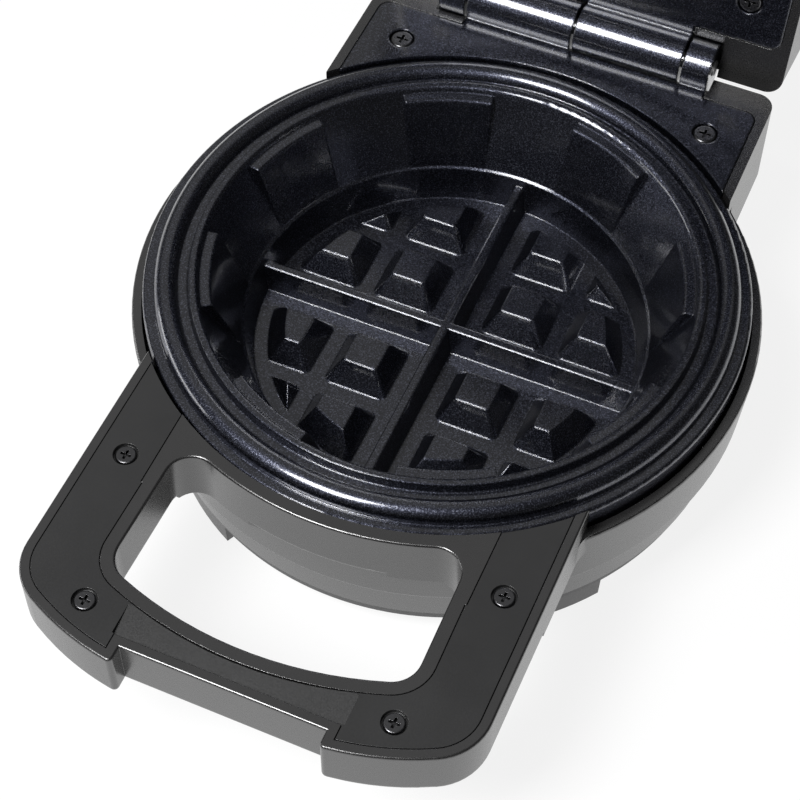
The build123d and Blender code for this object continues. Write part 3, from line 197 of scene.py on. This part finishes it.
# What all metals share: a fine grain in the gloss, and softened edges
def metal_surface(slot, rough_low, rough_high, edge_r):
    tree, bsdf, place = new_material(slot)
    bsdf.inputs["Metallic"].default_value = 1.0
    grain = noise(tree, place, METAL_GRAIN_CELLS, 2.0, 0.5)
    roughen(tree, bsdf, grain, rough_low, rough_high)
    edge = soft_edge(tree, edge_r)
    tree.links.new(bump(tree, grain, 0.15, METAL_GRAIN_HEIGHT, edge), bsdf.inputs["Normal"])
    return tree, bsdf, place


def metal(slot, low, high, rough_low, rough_high):
    tree, bsdf, place = metal_surface(slot, rough_low, rough_high, METAL_EDGE_R)
    tarnish = noise(tree, place, TARNISH_CELLS, 2.0, 0.5)
    tree.links.new(ramp(tree, tarnish, [(0.3, low), (0.7, high)]), bsdf.inputs["Base Color"])


# Blackened screw: the head shines softly, and shade is painted black into the cross recess
def black_screw():
    tree, bsdf, place = metal_surface("black_screw", 0.24, 0.38, SCREW_EDGE_R)
    # Ambient occlusion paints shade: the base colour turns black inside the cross recess
    painted_shade = add(tree, "ShaderNodeAmbientOcclusion", Distance=PAINTED_SHADE_REACH)
    painted_shade.samples = PAINTED_SHADE_SAMPLES
    painted_shade.only_local = True
    colour = ramp(tree, painted_shade.outputs["AO"], [(0.45, PAINTED_RECESS_SHADE), (0.85, SCREW_GREY)])
    tree.links.new(colour, bsdf.inputs["Base Color"])


# Each slot of the record: its two colours, its lowest and highest roughness, and its gloss
coated_casting()
moulded("housing_plastic", (0.011, 0.0107, 0.011), (0.015, 0.0146, 0.015), 0.23, 0.30, specular=1.0, ior=1.6)
moulded("cover_plastic", (0.014, 0.014, 0.0145), (0.019, 0.019, 0.0195), 0.30, 0.40, specular=0.8)
black_screw()
metal("pin_steel", (0.50, 0.50, 0.51), (0.60, 0.60, 0.61), 0.25, 0.38)
metal("heater_steel", (0.28, 0.27, 0.26), (0.38, 0.37, 0.36), 0.35, 0.5)
metal("reflector_sheet", (0.66, 0.66, 0.67), (0.74, 0.74, 0.75), 0.18, 0.3)
moulded("fitting_plastic", (0.68, 0.64, 0.56), (0.76, 0.72, 0.64), 0.45, 0.6)
moulded("bottom_plastic", (0.028, 0.028, 0.029), (0.035, 0.035, 0.036), 0.30, 0.42, specular=0.8)
moulded("pad_rubber", (0.018, 0.018, 0.018), (0.024, 0.024, 0.024), 0.7, 0.85)
moulded("gland_rubber", (0.014, 0.014, 0.014), (0.020, 0.020, 0.020), 0.6, 0.75)
moulded("power_lamp", (0.42, 0.02, 0.015), (0.50, 0.03, 0.02), 0.08, 0.14)
moulded("ready_lamp", (0.03, 0.30, 0.05), (0.04, 0.36, 0.06), 0.08, 0.14)
moulded("board_laminate", (0.03, 0.14, 0.05), (0.04, 0.18, 0.06), 0.35, 0.5)

for row in frame["record"]["subparts"]:
    mesh = frame["nodes"][row["node"]].data
    mesh.materials.clear()
    mesh.materials.append(MATERIALS[row["material_slot"]])


def link_object(name, data):
    obj = bpy.data.objects.new(name, data)
    bpy.context.scene.collection.objects.link(obj)
    return obj


def make_camera():
    back = Vector((math.sin(AZIMUTH) * math.cos(ELEVATION),
                   -math.cos(AZIMUTH) * math.cos(ELEVATION),
                   math.sin(ELEVATION)))
    eye = AIM + back * VIEW_DISTANCE
    level_right = (-back).cross(Vector((0, 0, 1))).normalized()
    level_down = (-back).cross(level_right)
    right = level_right * math.cos(ROLL) + level_down * math.sin(ROLL)
    down = -level_right * math.sin(ROLL) + level_down * math.cos(ROLL)
    data = bpy.data.cameras.new("camera")
    data.sensor_width = SENSOR_MM
    data.lens = LENS_MM
    data.clip_start = CLIP_NEAR
    data.clip_end = CLIP_FAR
    camera = link_object("camera", data)
    camera.matrix_world = Matrix(((right.x, -down.x, back.x, eye.x),
                                  (right.y, -down.y, back.y, eye.y),
                                  (right.z, -down.z, back.z, eye.z),
                                  (0, 0, 0, 1)))
    bpy.context.scene.camera = camera


# Pale to the lamps, near white to the eye and in reflections, with the shadow kept
def floor_material():
    material = bpy.data.materials.new("floor_white")
    tree = empty_tree(material)
    pale = add(tree, "ShaderNodeBsdfDiffuse", Color=(*grey(FLOOR_PALE), 1))
    seen_pale = add(tree, "ShaderNodeBsdfDiffuse", Color=(*grey(SEEN_FLOOR_PALE), 1))
    seen_glow = add(tree, "ShaderNodeEmission", Strength=SEEN_FLOOR_GLOW)
    seen_floor = tree.nodes.new("ShaderNodeAddShader")
    tree.links.new(seen_pale.outputs[0], seen_floor.inputs[0])
    tree.links.new(seen_glow.outputs[0], seen_floor.inputs[1])
    ray = tree.nodes.new("ShaderNodeLightPath")
    seen = larger(tree, ray.outputs["Is Camera Ray"], ray.outputs["Is Glossy Ray"])
    choice = tree.nodes.new("ShaderNodeMixShader")
    tree.links.new(seen, choice.inputs[0])
    tree.links.new(pale.outputs[0], choice.inputs[1])
    tree.links.new(seen_floor.outputs[0], choice.inputs[2])
    out = tree.nodes.new("ShaderNodeOutputMaterial")
    tree.links.new(choice.outputs[0], out.inputs["Surface"])
    return material


def make_floor():
    grid = bmesh.new()
    bmesh.ops.create_grid(grid, x_segments=FLOOR_CELLS, y_segments=FLOOR_CELLS, size=FLOOR_HALF)
    floor_mesh = bpy.data.meshes.new("floor")
    grid.to_mesh(floor_mesh)
    grid.free()
    floor_mesh.materials.append(floor_material())
    floor = link_object("floor", floor_mesh)
    floor.location = (0, 0, -FLOOR_DROP)


# White to the eye; for the rest dark walls under the bright patch
def make_room():
    world = bpy.data.worlds.new("world")
    bpy.context.scene.world = world
    tree = empty_tree(world)
    direction = tree.nodes.new("ShaderNodeTexCoord")
    patch = tree.nodes.new("ShaderNodeVectorMath")
    patch.operation = "DOT_PRODUCT"
    patch.inputs[1].default_value = PATCH_DIRECTION
    tree.links.new(direction.outputs["Generated"], patch.inputs[0])
    sweep = tree.nodes.new("ShaderNodeMapRange")
    sweep.interpolation_type = "SMOOTHSTEP"
    sweep.inputs["From Min"].default_value = PATCH_EDGE
    sweep.inputs["From Max"].default_value = PATCH_CORE
    sweep.inputs["To Min"].default_value = WALL_STRENGTH
    sweep.inputs["To Max"].default_value = PATCH_STRENGTH
    tree.links.new(patch.outputs["Value"], sweep.inputs["Value"])
    ray = tree.nodes.new("ShaderNodeLightPath")
    glow = add(tree, "ShaderNodeBackground", Color=(1, 1, 1, 1))
    tree.links.new(larger(tree, ray.outputs["Is Camera Ray"], sweep.outputs[0]), glow.inputs["Strength"])
    out = tree.nodes.new("ShaderNodeOutputWorld")
    tree.links.new(glow.outputs[0], out.inputs["Surface"])


# Softbox aimed at the bowl, from a direction and a distance, with a size in metres and a power in watts
def softbox(name, towards, distance, size, power):
    lamp = bpy.data.lights.new(name, "AREA")
    lamp.shape = "RECTANGLE"
    lamp.size, lamp.size_y = size
    lamp.energy = power
    obj = link_object(name, lamp)
    target = Vector((0, BOWL_Y, LIP_Z))
    obj.location = target + Vector(towards).normalized() * distance
    obj.rotation_mode = "QUATERNION"
    obj.rotation_quaternion = (target - obj.location).to_track_quat("-Z", "Y")


make_camera()
make_floor()
make_room()
softbox("key_front", (-0.24, -0.52, 0.82), distance=1.4, size=(0.45, 0.55), power=23)
softbox("side_left", (-0.95, -0.25, 0.12), distance=1.3, size=(0.8, 0.25), power=3)

bpy.context.scene.view_settings.view_transform = "Standard"
